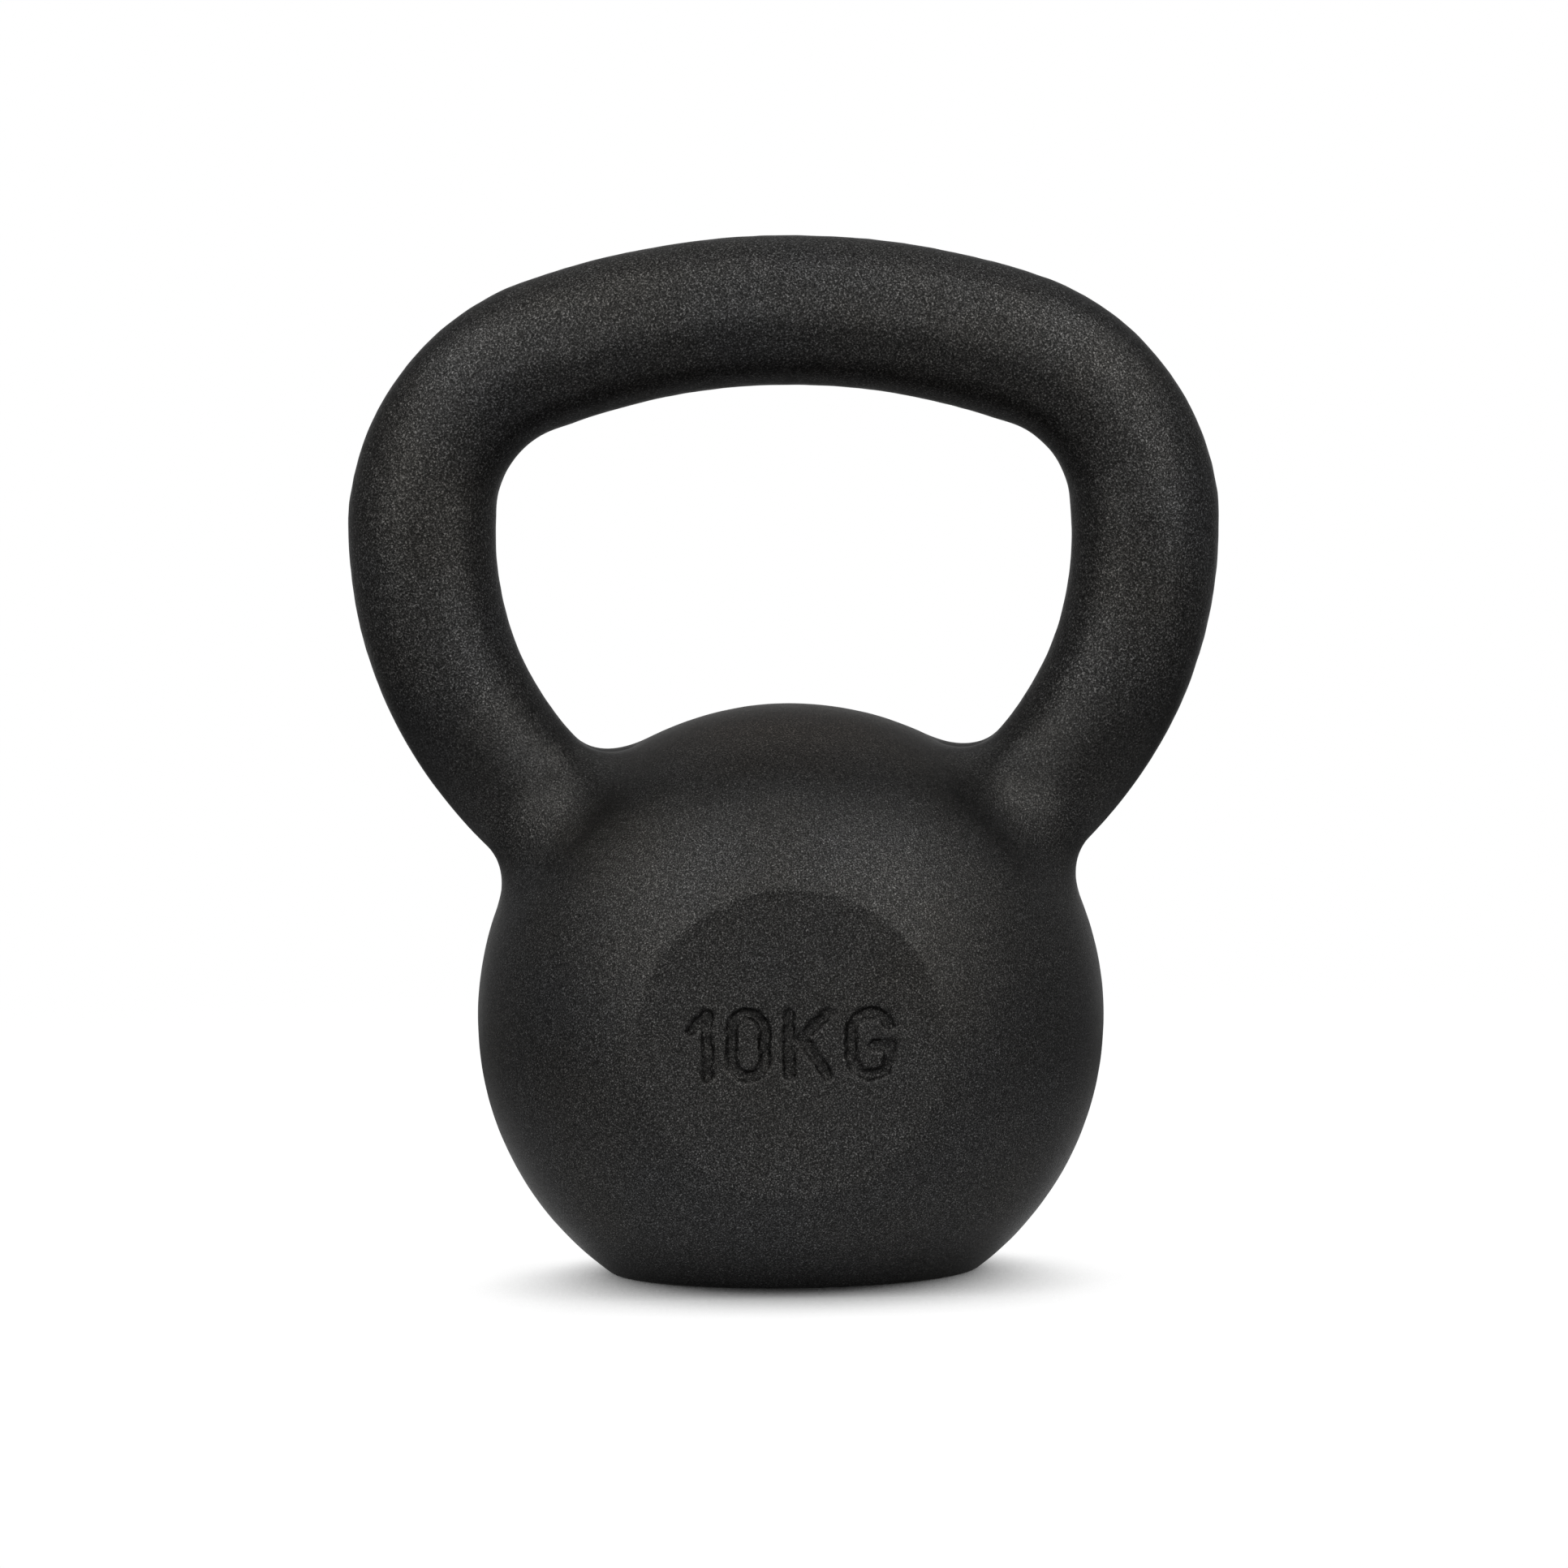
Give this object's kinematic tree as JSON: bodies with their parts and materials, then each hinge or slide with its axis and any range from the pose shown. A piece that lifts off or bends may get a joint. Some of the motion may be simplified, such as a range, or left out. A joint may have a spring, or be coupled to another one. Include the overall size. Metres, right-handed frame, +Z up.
{
  "type": "kettlebell",
  "caption": "Cast-iron kettlebell: round ball with flat base and flat front and back discs, and a wide looped handle, black powder coat.",
  "frame": {"origin": "centre of the flat base, on the surface that the kettlebell stands on", "axes": "+Z up, X along the grip, -Y out of the front disc that carries the weight mark"},
  "size_m": [0.1832, 0.1146, 0.2185],
  "materials": {
    "coated_iron": "black powder coat with a fine pebbled grain"
  },
  "bodies": {
    "root": {"ball": "coated_iron", "grip": "coated_iron", "left_horn": "coated_iron", "right_horn": "coated_iron", "left_corner": "coated_iron", "right_corner": "coated_iron"}
  },
  "joints": []
}
